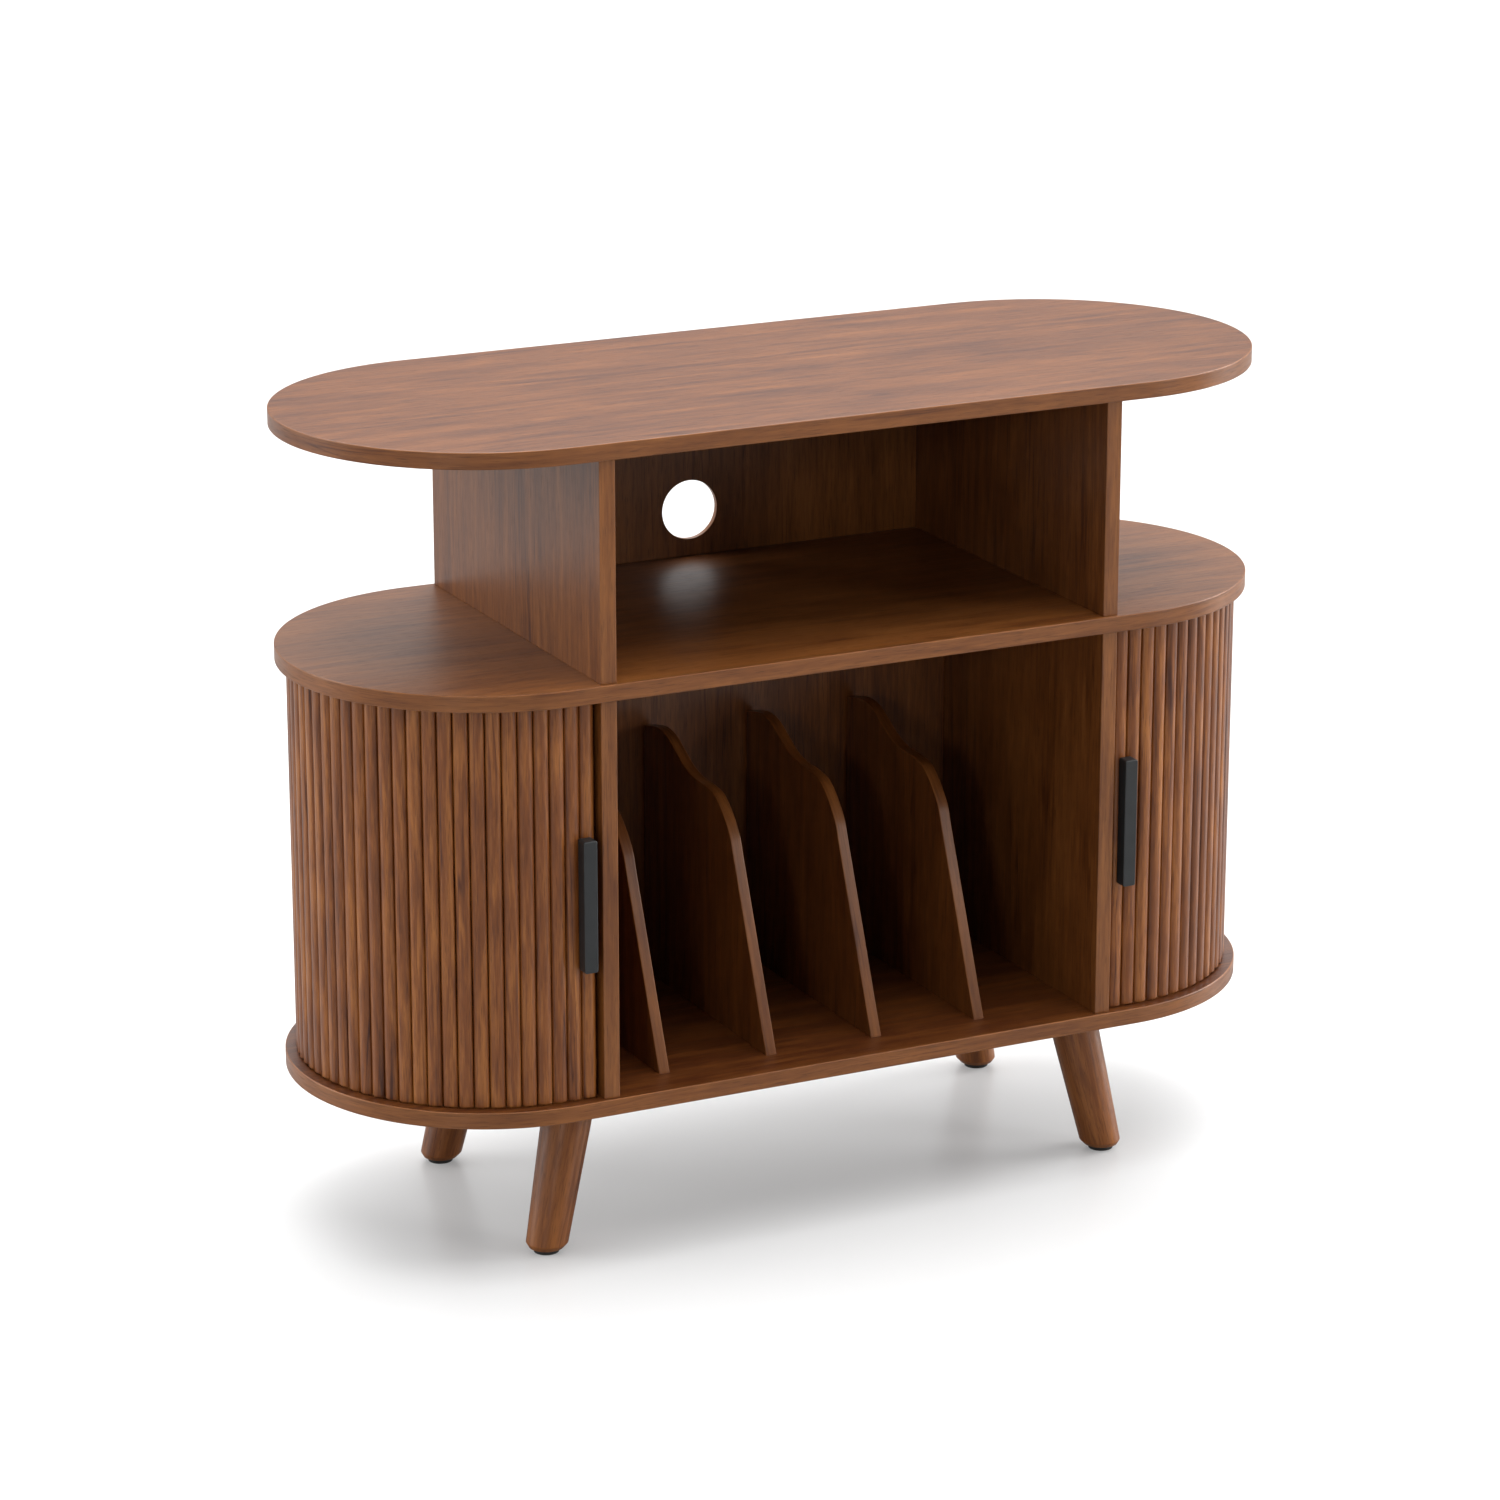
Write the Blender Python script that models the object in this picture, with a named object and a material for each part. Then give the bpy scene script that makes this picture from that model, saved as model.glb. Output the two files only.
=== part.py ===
"""Media cabinet with tambour ends.

Three stadium-shaped boards stand on splayed legs. The upper bay is open, the lower bay holds records
between wave-topped dividers, and each half-round end of the lower bay is closed by a tambour door that
slides round the end in curved grooves. Metres, +Z up, front towards -Y. The origin is on the floor,
under the middle of the cabinet.
"""

import math

import bmesh
import bpy
from mathutils import Matrix, Vector

# Driving dimensions
LENGTH = 1.000
DEPTH = 0.400
BOARD = 0.016
LEG_SPACE = 0.155  # floor to the underside of the bottom board
RECORD_SPACE = 0.387  # clear height of the record bay
MEDIA_SPACE = 0.210  # clear height of the media bay
GAP = 0.0003  # clearance between pieces that rest on each other
ARC_STEP = math.radians(6)

END_RADIUS = DEPTH / 2
AXIS_X = LENGTH / 2 - END_RADIUS  # the half-round ends turn about x = +-AXIS_X, y = 0
BOTTOM_Z = LEG_SPACE
MIDDLE_Z = BOTTOM_Z + BOARD + RECORD_SPACE
TOP_Z = MIDDLE_Z + BOARD + MEDIA_SPACE
RECORD_FLOOR = BOTTOM_Z + BOARD
MEDIA_FLOOR = MIDDLE_Z + BOARD

# Partitions and back panels
PARTITION_X = 0.2636  # centre plane of each partition
PARTITION_FRONT = -0.196
UPPER_PARTITION_REAR = 0.196
PARTITION_INNER = PARTITION_X - BOARD / 2
UPPER_BACK_Y = 0.185  # front face
UPPER_BACK_THICK = 0.006
CABLE_HOLE_RADIUS = 0.030
CABLE_HOLE_RISE = 0.047  # hole centre above the media bay's floor
LOWER_BACK_Y = 0.120  # front face
LOWER_BACK_THICK = 0.010
LOWER_PARTITION_REAR = LOWER_BACK_Y + LOWER_BACK_THICK
REAR_SKIN_INNER = 0.193  # radius of the rear shells, and y of the rear panel
REAR_SKIN_THICK = 0.004
SHELL_START = math.radians(127.5)  # measured round the end from the front

# Record dividers
DIVIDER_THICK = 0.011
DIVIDER_PITCH = 0.113
DIVIDER_FIRST_X = -0.1918
DIVIDER_COUNT = 4
DIVIDER_FRONT = -0.158
DIVIDER_REAR = 0.115
HOUSING_DEPTH = 0.005

# Tambour doors. A radius is measured from the end's axis, and a distance along a door from its lead edge.
SLAT_COUNT = 31
SLAT_PITCH = 0.0149
FLAT_RUN = 0.025  # the lead slats lie flat in front of the half-round end
PITCH_RADIUS = 0.1875
CREST_RADIUS = 0.1895
VALLEY_RADIUS = 0.1858
TONGUE_OUTER = 0.1850
SLAT_REAR = 0.1815
CANVAS_OUTER = 0.1812
CANVAS_INNER = 0.1803
DOOR_TRAVEL = math.radians(88)
TRACK_INNER = 0.1806
TRACK_OUTER = 0.1880
TRACK_DEPTH = 0.005
TRACK_SPARE = 0.0012
TONGUE_LENGTH = 0.0035
SHOULDER_CLEARANCE = 0.002

# Handles and their screws
HANDLE_WIDTH = 0.0135
HANDLE_PROJECTION = 0.014
HANDLE_HEIGHT = 0.128
HANDLE_FROM_EDGE = 0.0117  # handle centre from the door's lead edge
SCREW_SPACING = 0.096
SCREW_RADIUS = 0.0020
SCREW_CLEARANCE = 0.0003
SCREW_HEAD_RADIUS = 0.0040
SCREW_HEAD = 0.0022
SCREW_REACH = 0.008  # length of the screw inside the handle

# Legs, glides, hanger bolts and inserts
FOOT_X = 0.304
FOOT_Y = 0.130
LEG_TOP_X = 0.271
LEG_TOP_Y = 0.118
LEG_TOP_RADIUS = 0.0252
LEG_FOOT_RADIUS = 0.0204
LEG_TIP_RADIUS = 0.0168
GLIDE_HEIGHT = 0.005
LEG_CHAMFER_TOP = 0.0098
GLIDE_RADIUS = 0.0122
BOLT_RADIUS = 0.004
BOLT_IN_LEG = 0.030
BOLT_IN_BOARD = 0.0115
INSERT_RADIUS = 0.006
INSERT_LENGTH = 0.0120

# Dowels
DOWEL_RADIUS = 0.004
DOWEL_IN_BOARD = 0.007
DOWEL_IN_PARTITION = 0.015
UPPER_DOWEL_YS = (-0.130, 0.130)
LOWER_DOWEL_YS = (-0.150, 0.090)

SIDES = {"left": -1, "right": 1}
ENDS = {"front": -1, "rear": 1}


def clear_scene():
    for obj in list(bpy.data.objects):
        bpy.data.objects.remove(obj, do_unlink=True)


def material(name, colour, roughness, metallic=0.0):
    made = bpy.data.materials.new(name)
    made.use_nodes = True
    shader = made.node_tree.nodes["Principled BSDF"]
    shader.inputs["Base Color"].default_value = (*colour, 1.0)
    shader.inputs["Roughness"].default_value = roughness
    shader.inputs["Metallic"].default_value = metallic
    return made


def add_object(name, mesh_builder, look, parent=None, smooth=False):
    """An object whose closed mesh is what is in mesh_builder, a BMesh."""
    bmesh.ops.recalc_face_normals(mesh_builder, faces=mesh_builder.faces)
    mesh = bpy.data.meshes.new(name)
    mesh_builder.to_mesh(mesh)
    mesh_builder.free()
    if smooth:
        mesh.shade_smooth()
        mesh.set_sharp_from_angle(angle=math.radians(35))
    if look:
        mesh.materials.append(look)
    obj = bpy.data.objects.new(name, mesh)
    bpy.context.scene.collection.objects.link(obj)
    obj.parent = parent
    return obj


def extrude_outline(builder, outline, low, high, axis="Z"):
    """Adds a prism: outline is a list of 2-D points, across Z as (x, y) or across X as (y, z)."""
    place = {"Z": lambda p: (p[0], p[1], low), "X": lambda p: (low, p[0], p[1])}[axis]
    along = {"Z": (0, 0, high - low), "X": (high - low, 0, 0)}[axis]
    face = builder.faces.new([builder.verts.new(place(point)) for point in outline])
    top = bmesh.ops.extrude_face_region(builder, geom=[face])["geom"]
    moved = [item for item in top if isinstance(item, bmesh.types.BMVert)]
    bmesh.ops.translate(builder, verts=moved, vec=along)


def add_box(builder, low, high):
    size = [b - a for a, b in zip(low, high)]
    centre = [(a + b) / 2 for a, b in zip(low, high)]
    bmesh.ops.create_cube(builder, size=1.0, matrix=Matrix.Translation(centre) @ Matrix.Diagonal((*size, 1)))


def box(name, low, high, look, parent=None):
    builder = bmesh.new()
    add_box(builder, low, high)
    return add_object(name, builder, look, parent)


def add_turned(builder, profile, sides, foot=(0.0, 0.0), head=(0.0, 0.0)):
    """Adds a turned shape: profile lists (radius, z) from its base up. Its middle leans from foot to head."""
    base_z = profile[0][1]
    height = profile[-1][1] - base_z
    rings = []
    for radius, z in profile:
        share = (z - base_z) / height
        x = foot[0] + (head[0] - foot[0]) * share
        y = foot[1] + (head[1] - foot[1]) * share
        turns = [2 * math.pi * i / sides for i in range(sides)]
        rings.append([builder.verts.new((x + radius * math.cos(t), y + radius * math.sin(t), z)) for t in turns])
    builder.faces.new(rings[0])
    builder.faces.new(rings[-1])
    for lower, upper in zip(rings, rings[1:]):
        for i in range(sides):
            j = (i + 1) % sides
            builder.faces.new((lower[i], lower[j], upper[j], upper[i]))


def add_peg(builder, radius, low, high, centre, sides, axis="Z"):
    """Adds a plain round bar from low to high along Z or Y. centre is its other two coordinates."""
    if axis == "Z":
        place = Matrix.Translation((centre[0], centre[1], (low + high) / 2))
    else:
        place = Matrix.Translation((centre[0], (low + high) / 2, centre[1])) @ Matrix.Rotation(math.pi / 2, 4, "X")
    bmesh.ops.create_cone(
        builder, cap_ends=True, segments=sides, radius1=radius, radius2=radius, depth=high - low, matrix=place
    )


def cut(target, builder, name):
    """Subtracts what is in builder from target with a Boolean."""
    cutter = add_object(name, builder, None, target.parent)
    cutter.hide_render = True
    cutter.display_type = "WIRE"
    boolean = target.modifiers.new(name, "BOOLEAN")
    boolean.operation = "DIFFERENCE"
    boolean.object = cutter


def stadium():
    """The boards' outline: two half circles joined by the straight front and back."""
    steps = round(math.pi / ARC_STEP)
    points = []
    for side in (1, -1):
        for i in range(steps + 1):
            turn = side * (-math.pi / 2 + math.pi * i / steps)
            points.append((side * AXIS_X + side * END_RADIUS * math.cos(turn), END_RADIUS * math.sin(turn)))
    return points


def door_point(side, distance, radius):
    """The point of a door at this distance from its lead edge, about the end's axis: flat first, then round."""
    if distance <= FLAT_RUN:
        return (-side * (FLAT_RUN - distance), -radius)
    turn = (distance - FLAT_RUN) / PITCH_RADIUS
    return (side * radius * math.sin(turn), -radius * math.cos(turn))


def arc_band(side, inner, outer, start, end, flat=0.0):
    """Outline of a band round the end's axis from angle start to end. flat lengthens its start along the front."""
    steps = math.ceil((end - start) / ARC_STEP)
    turns = [start + (end - start) * i / steps for i in range(steps + 1)]
    outer_side = [(side * outer * math.sin(t), -outer * math.cos(t)) for t in turns]
    inner_side = [(side * inner * math.sin(t), -inner * math.cos(t)) for t in turns]
    if flat:
        outer_side.insert(0, (-side * flat, -outer))
        inner_side.insert(0, (-side * flat, -inner))
    return outer_side + inner_side[::-1]


def make_boards():
    boards = {}
    for name, z in (("top_panel", TOP_Z), ("mid_panel", MIDDLE_Z), ("bottom_panel", BOTTOM_Z)):
        builder = bmesh.new()
        extrude_outline(builder, stadium(), z, z + BOARD)
        boards[name] = add_object(name, builder, WALNUT, smooth=True)

    for name, low, high in (
        ("mid_panel", MIDDLE_Z - TRACK_DEPTH, MIDDLE_Z + TRACK_DEPTH),
        ("bottom_panel", RECORD_FLOOR - TRACK_DEPTH, RECORD_FLOOR + TRACK_DEPTH),
    ):
        builder = bmesh.new()
        door_end = (SLAT_COUNT * SLAT_PITCH - FLAT_RUN) / PITCH_RADIUS
        track_end = door_end + DOOR_TRAVEL + TRACK_SPARE / PITCH_RADIUS
        for side in SIDES.values():
            outline = arc_band(side, TRACK_INNER, TRACK_OUTER, 0.0, track_end, FLAT_RUN + TRACK_SPARE)
            outline = [(x + side * AXIS_X, y) for x, y in outline]
            extrude_outline(builder, outline, low, high + (TRACK_DEPTH if name == "bottom_panel" else 0.0))
        cut(boards[name], builder, name + "_tracks")

    builder = bmesh.new()
    for i in range(DIVIDER_COUNT):
        x = DIVIDER_FIRST_X + i * DIVIDER_PITCH
        half = DIVIDER_THICK / 2 + GAP
        low = (x - half, DIVIDER_FRONT - GAP, RECORD_FLOOR - HOUSING_DEPTH)
        add_box(builder, low, (x + half, DIVIDER_REAR + GAP, RECORD_FLOOR + HOUSING_DEPTH))
    cut(boards["bottom_panel"], builder, "divider_housings")

    builder = bmesh.new()
    for side in SIDES.values():
        for end in ENDS.values():
            centre = (side * LEG_TOP_X, end * LEG_TOP_Y)
            low, high = BOTTOM_Z - 0.005, BOTTOM_Z + INSERT_LENGTH + GAP
            add_peg(builder, INSERT_RADIUS + GAP, low, high, centre, 12)
    cut(boards["bottom_panel"], builder, "insert_holes")
    return boards


def make_partitions(boards):
    """The four partitions and the dowels that locate them in the boards."""
    levels = {
        "upper": (MEDIA_FLOOR, TOP_Z, UPPER_PARTITION_REAR, UPPER_DOWEL_YS, "mid_panel", "top_panel"),
        "lower": (RECORD_FLOOR, MIDDLE_Z, LOWER_PARTITION_REAR, LOWER_DOWEL_YS, "bottom_panel", "mid_panel"),
    }
    for level, (floor, ceiling, rear, dowel_ys, board_below, board_above) in levels.items():
        joints = {"base": (floor, board_below, 1), "head": (ceiling, board_above, -1)}
        board_holes = {place: bmesh.new() for place in joints}
        for side_name, side in SIDES.items():
            x = side * PARTITION_X
            low = (x - BOARD / 2, PARTITION_FRONT, floor + GAP)
            name = f"{level}_partition_{side_name}"
            partition = box(name, low, (x + BOARD / 2, rear, ceiling - GAP), WALNUT)
            own_holes = bmesh.new()
            for place, (z, _board, into) in joints.items():
                ends = sorted((z - into * DOWEL_IN_BOARD, z + into * DOWEL_IN_PARTITION))
                for end_name, y in zip(ENDS, dowel_ys):
                    builder = bmesh.new()
                    add_peg(builder, DOWEL_RADIUS, ends[0], ends[1], (x, y), 8)
                    add_object(f"dowel_{level}_{side_name}_{place}_{end_name}", builder, BEECH, smooth=True)
                    for holes in (own_holes, board_holes[place]):
                        add_peg(holes, DOWEL_RADIUS + GAP, ends[0] - GAP, ends[1] + GAP, (x, y), 8)
            cut(partition, own_holes, name + "_dowel_holes")
        for place, (_z, board, _into) in joints.items():
            cut(boards[board], board_holes[place], f"{board}_{level}_dowel_holes")


def make_backs():
    width = PARTITION_INNER - GAP
    low = (-width, UPPER_BACK_Y, MEDIA_FLOOR + GAP)
    high = (width, UPPER_BACK_Y + UPPER_BACK_THICK, TOP_Z - GAP)
    upper = box("upper_back_panel", low, high, WALNUT)
    builder = bmesh.new()
    centre = (0.0, MEDIA_FLOOR + CABLE_HOLE_RISE)
    add_peg(builder, CABLE_HOLE_RADIUS, UPPER_BACK_Y - 0.01, UPPER_BACK_Y + 0.02, centre, 32, axis="Y")
    cut(upper, builder, "cable_hole")

    low = (-width, LOWER_BACK_Y, RECORD_FLOOR + GAP)
    box("lower_back_panel", low, (width, LOWER_PARTITION_REAR, MIDDLE_Z - GAP), WALNUT)

    low = (-AXIS_X + GAP, REAR_SKIN_INNER, RECORD_FLOOR + GAP)
    high = (AXIS_X - GAP, REAR_SKIN_INNER + REAR_SKIN_THICK, MIDDLE_Z - GAP)
    box("rear_panel", low, high, WALNUT_PLY)
    for side_name, side in SIDES.items():
        outline = arc_band(side, REAR_SKIN_INNER, REAR_SKIN_INNER + REAR_SKIN_THICK, SHELL_START, math.pi)
        outline = [(x + side * AXIS_X, y) for x, y in outline]
        builder = bmesh.new()
        extrude_outline(builder, outline, RECORD_FLOOR + GAP, MIDDLE_Z - GAP)
        add_object(f"rear_shell_{side_name}", builder, WALNUT_PLY, smooth=True)


def divider_outline():
    """Side view of a record divider as (y, z): a straight lean, a round shoulder, and a low wave to a crest."""
    foot_z = RECORD_FLOOR - HOUSING_DEPTH + GAP
    shoulder = [(-0.086, 0.180), (-0.079, 0.197), (-0.064, 0.215), (-0.046, 0.2285), (-0.025, 0.2325)]
    wave = [(0.000, 0.2335), (0.022, 0.239), (0.042, 0.249), (0.062, 0.259), (0.085, 0.262), (DIVIDER_REAR, 0.256)]
    top_edge = [(y, RECORD_FLOOR + rise) for y, rise in shoulder + wave]
    return [(DIVIDER_FRONT, foot_z), (DIVIDER_FRONT, RECORD_FLOOR), *top_edge, (DIVIDER_REAR, foot_z)]


def make_dividers():
    for i in range(DIVIDER_COUNT):
        x = DIVIDER_FIRST_X + i * DIVIDER_PITCH
        builder = bmesh.new()
        extrude_outline(builder, divider_outline(), x - DIVIDER_THICK / 2, x + DIVIDER_THICK / 2, axis="X")
        add_object(f"record_divider_{i + 1}", builder, WALNUT)


def make_legs():
    top_z = BOTTOM_Z - GAP
    for side_name, side in SIDES.items():
        for end_name, end in ENDS.items():
            corner = f"{end_name}_{side_name}"
            foot = (side * FOOT_X, end * FOOT_Y)
            head = (side * LEG_TOP_X, end * LEG_TOP_Y)

            builder = bmesh.new()
            profile = [
                (LEG_TIP_RADIUS, GLIDE_HEIGHT),
                (LEG_FOOT_RADIUS, LEG_CHAMFER_TOP),
                (LEG_TOP_RADIUS, top_z),
            ]
            add_turned(builder, profile, 24, foot, head)
            leg = add_object("leg_" + corner, builder, WALNUT_SOLID, smooth=True)
            builder = bmesh.new()
            add_peg(builder, BOLT_RADIUS + GAP, top_z - BOLT_IN_LEG - GAP, top_z + 0.005, head, 12)
            cut(leg, builder, f"leg_{corner}_bolt_hole")

            builder = bmesh.new()
            add_peg(builder, GLIDE_RADIUS, 0.0, GLIDE_HEIGHT - GAP, foot, 20)
            add_object("glide_pad_" + corner, builder, GLIDE_RUBBER, smooth=True)

            builder = bmesh.new()
            add_peg(builder, BOLT_RADIUS, top_z - BOLT_IN_LEG, BOTTOM_Z + BOLT_IN_BOARD, head, 12)
            add_object("hanger_bolt_" + corner, builder, STEEL, smooth=True)

            builder = bmesh.new()
            add_peg(builder, INSERT_RADIUS, BOTTOM_Z, BOTTOM_Z + INSERT_LENGTH, head, 12)
            insert = add_object("threaded_insert_" + corner, builder, BRASS, smooth=True)
            builder = bmesh.new()
            add_peg(builder, BOLT_RADIUS + GAP, BOTTOM_Z - 0.005, BOTTOM_Z + 0.02, head, 12)
            cut(insert, builder, f"insert_{corner}_bore")


def add_slats(builder, side, first, last):
    """Adds the slats numbered first to last as one closed body: a rear face, a tongue at each end that runs in
    the track, and a rounded reed per slat between the tongues' shoulders."""
    low = RECORD_FLOOR + SHOULDER_CLEARANCE
    high = MIDDLE_Z - SHOULDER_CLEARANCE
    levels = (RECORD_FLOOR - TONGUE_LENGTH, low, high, MIDDLE_Z + TONGUE_LENGTH)
    reed = ((0.16, 0.0028), (0.5, CREST_RADIUS - VALLEY_RADIUS), (0.84, 0.0028))
    edge_gap = GAP / 2

    def column(distance, radius, at_levels):
        x, y = door_point(side, distance, radius)
        return [builder.verts.new((x, y, levels[k])) for k in at_levels]

    rear, tongue, valley, reeds = [], [], [], []
    for k in range(first, last + 2):
        distance = k * SLAT_PITCH
        if k == first:
            distance += edge_gap
        if k == last + 1:
            distance -= edge_gap
        rear.append(column(distance, SLAT_REAR, (0, 3)))
        tongue.append(column(distance, TONGUE_OUTER, (0, 1, 2, 3)))
        valley.append(column(distance, VALLEY_RADIUS, (1, 2)))
        if k <= last:
            reeds.append([column((k + t) * SLAT_PITCH, VALLEY_RADIUS + rise, (1, 2)) for t, rise in reed])

    for k in range(len(reeds)):
        n = k + 1
        builder.faces.new((rear[k][0], rear[n][0], rear[n][1], rear[k][1]))
        for level in (0, 2):
            here, there = tongue[k], tongue[n]
            builder.faces.new((here[level], there[level], there[level + 1], here[level + 1]))
        for level, at in ((0, 0), (1, 3)):
            builder.faces.new((rear[k][level], rear[n][level], tongue[n][at], tongue[k][at]))
        front = [valley[k], *reeds[k], valley[n]]
        for a, b in zip(front, front[1:]):
            builder.faces.new((a[0], b[0], b[1], a[1]))
        for level, at in ((0, 1), (1, 2)):
            builder.faces.new([tongue[k][at], *[column_[level] for column_ in front], tongue[n][at]])
    for k in (0, -1):
        t = tongue[k]
        builder.faces.new((rear[k][0], rear[k][1], t[3], t[2], valley[k][1], valley[k][0], t[1], t[0]))


def make_door(side_name, side):
    """One tambour door. Its pieces hang from an empty on the axis that it turns round."""
    axis = bpy.data.objects.new(f"{side_name}_door_axis", None)
    axis.location = (side * AXIS_X, 0.0, 0.0)
    bpy.context.scene.collection.objects.link(axis)

    builder = bmesh.new()
    add_slats(builder, side, 0, 0)
    lead = add_object(f"{side_name}_lead_slat", builder, WALNUT_SLAT, axis)
    builder = bmesh.new()
    add_slats(builder, side, 1, SLAT_COUNT - 1)
    add_object(f"{side_name}_slat_run", builder, WALNUT_SLAT, axis)

    margin = 0.002
    length = SLAT_COUNT * SLAT_PITCH
    distances = [margin, *[k * SLAT_PITCH for k in range(1, SLAT_COUNT)], length - margin]
    outline = [door_point(side, d, CANVAS_OUTER) for d in distances]
    outline += [door_point(side, d, CANVAS_INNER) for d in reversed(distances)]
    inset = SHOULDER_CLEARANCE + 0.004
    builder = bmesh.new()
    extrude_outline(builder, outline, RECORD_FLOOR + inset, MIDDLE_Z - inset)
    canvas = add_object(f"{side_name}_canvas_backing", builder, CANVAS, axis)

    middle_z = (RECORD_FLOOR + MIDDLE_Z) / 2
    x = door_point(side, HANDLE_FROM_EDGE, 0.0)[0]
    handle_rear = -CREST_RADIUS - GAP
    low = (x - HANDLE_WIDTH / 2, handle_rear - HANDLE_PROJECTION, middle_z - HANDLE_HEIGHT / 2)
    high = (x + HANDLE_WIDTH / 2, handle_rear, middle_z + HANDLE_HEIGHT / 2)
    handle = box(f"{side_name}_handle", low, high, BLACK_METAL, axis)
    bevel = handle.modifiers.new("edge_round", "BEVEL")
    bevel.width = 0.0008
    bevel.segments = 1

    shank_end = handle_rear - SCREW_REACH
    for target in (canvas, lead, handle):
        holes = bmesh.new()
        for end in ENDS.values():
            centre = (x, middle_z + end * SCREW_SPACING / 2)
            radius = SCREW_RADIUS + SCREW_CLEARANCE
            add_peg(holes, radius, shank_end - GAP, -CANVAS_INNER + 0.01, centre, 12, axis="Y")
        cut(target, holes, target.name + "_screw_holes")
    for name, end in (("lower", -1), ("upper", 1)):
        z = middle_z + end * SCREW_SPACING / 2
        head_front = -CANVAS_INNER + GAP
        builder = bmesh.new()
        profile = [(SCREW_RADIUS, 0.0), (SCREW_RADIUS, head_front - shank_end)]
        head_top = head_front - shank_end + SCREW_HEAD
        profile += [(SCREW_HEAD_RADIUS, profile[-1][1]), (SCREW_HEAD_RADIUS * 0.8, head_top)]
        add_turned(builder, profile, 12)
        turn = Matrix.Translation((x, shank_end, z)) @ Matrix.Rotation(-math.pi / 2, 4, "X")
        bmesh.ops.transform(builder, matrix=turn, verts=builder.verts)
        add_object(f"{side_name}_handle_screw_{name}", builder, STEEL, axis, smooth=True)


clear_scene()
WALNUT = material("walnut_board", (0.20, 0.085, 0.037), 0.42)
WALNUT_SLAT = material("walnut_slat", (0.19, 0.080, 0.038), 0.45)
WALNUT_SOLID = material("walnut_leg", (0.17, 0.070, 0.032), 0.45)
WALNUT_PLY = material("walnut_ply", (0.17, 0.075, 0.035), 0.50)
BLACK_METAL = material("black_metal", (0.028, 0.028, 0.030), 0.45, 0.6)
CANVAS = material("canvas", (0.040, 0.027, 0.020), 0.90)
GLIDE_RUBBER = material("glide_rubber", (0.02, 0.02, 0.02), 0.70)
STEEL = material("steel", (0.55, 0.55, 0.56), 0.30, 1.0)
BRASS = material("brass", (0.70, 0.50, 0.22), 0.30, 1.0)
BEECH = material("beech", (0.60, 0.42, 0.26), 0.60)

make_partitions(make_boards())
make_backs()
make_dividers()
make_legs()
for door_name, door_side in SIDES.items():
    make_door(door_name, door_side)
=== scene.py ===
"""The finished look of the media cabinet with tambour ends.

Each wooden part is rebuilt round its CAD node with rounded edges and finely stepped curves. Its corners
carry the wood's own coordinates, so that grain runs along boards, round edge bands and up each slat.
Lengths are in metres. The cabinet's front faces -Y and the floor is z = 0.
"""

import math
import random

import bmesh
import bpy
from mathutils import Matrix, Vector
from mathutils.geometry import tessellate_polygon


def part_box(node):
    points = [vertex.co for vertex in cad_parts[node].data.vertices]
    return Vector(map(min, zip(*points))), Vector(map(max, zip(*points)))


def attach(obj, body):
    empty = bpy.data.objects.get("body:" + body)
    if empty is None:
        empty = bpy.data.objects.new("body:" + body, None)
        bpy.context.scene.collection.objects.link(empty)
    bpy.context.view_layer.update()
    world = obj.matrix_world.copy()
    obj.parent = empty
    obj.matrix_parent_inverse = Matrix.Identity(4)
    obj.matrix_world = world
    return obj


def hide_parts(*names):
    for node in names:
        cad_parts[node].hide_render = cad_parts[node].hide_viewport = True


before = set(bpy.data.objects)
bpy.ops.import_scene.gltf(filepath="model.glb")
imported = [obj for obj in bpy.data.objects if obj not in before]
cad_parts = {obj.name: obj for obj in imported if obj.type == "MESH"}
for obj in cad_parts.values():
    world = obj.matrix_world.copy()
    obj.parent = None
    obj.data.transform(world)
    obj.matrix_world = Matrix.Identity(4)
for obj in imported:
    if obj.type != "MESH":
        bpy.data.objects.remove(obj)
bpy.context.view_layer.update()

# Places read from the frame
SIDES = {"left": -1, "right": 1}
CORNERS = ("front_left", "front_right", "rear_left", "rear_right")
END_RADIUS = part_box("top_panel")[1].y
AXIS_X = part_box("top_panel")[1].x - END_RADIUS
RECORD_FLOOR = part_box("bottom_panel")[1].z
RECORD_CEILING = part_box("mid_panel")[0].z
SLAT_CREST = -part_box("left_lead_slat")[0].y
SLAT_REAR = -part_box("left_lead_slat")[1].y
CANVAS_OUTER = -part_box("left_canvas_backing")[0].y

# Tambour doors: radii about the end's axis, and distances along a door from its lead edge
SLAT_COUNT = 31
SLAT_PITCH = 0.0149
SLAT_GAP = 0.0006
FLAT_RUN = 0.025
PITCH_RADIUS = 0.1875
SLAT_VALLEY = 0.1851
TONGUE_OUTER = 0.1850
SHOULDER_CLEARANCE = 0.002
REED_STEPS = 14
REED_FULLNESS = 2.0
CANVAS_THICK = 0.0009
CANVAS_MARGIN = 0.002

# Curved tracks in the middle and bottom boards
TRACK_INNER = 0.1806
TRACK_OUTER = 0.1880
TRACK_DEPTH = 0.005
TRACK_SPARE = 0.0012
DOOR_END = (SLAT_COUNT * SLAT_PITCH - FLAT_RUN) / PITCH_RADIUS
DOOR_TRAVEL = math.radians(88)
TRACK_END = DOOR_END + DOOR_TRAVEL + TRACK_SPARE / PITCH_RADIUS

# Finish of the edges
ARC_STEP = math.radians(1.5)
BOARD_ROUNDING = 0.0010
PANEL_ROUNDING = 0.0008
SUPPORT = 0.0005
ROUND_STEPS = 4
HOLE_CLEARANCE = 0.0003
CABLE_HOLE_RADIUS = 0.030
CABLE_HOLE_RISE = 0.047
CABLE_HOLE_SIDES = 96
SHARP_ANGLE = math.radians(32)
BORE_SIDES = 16

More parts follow.
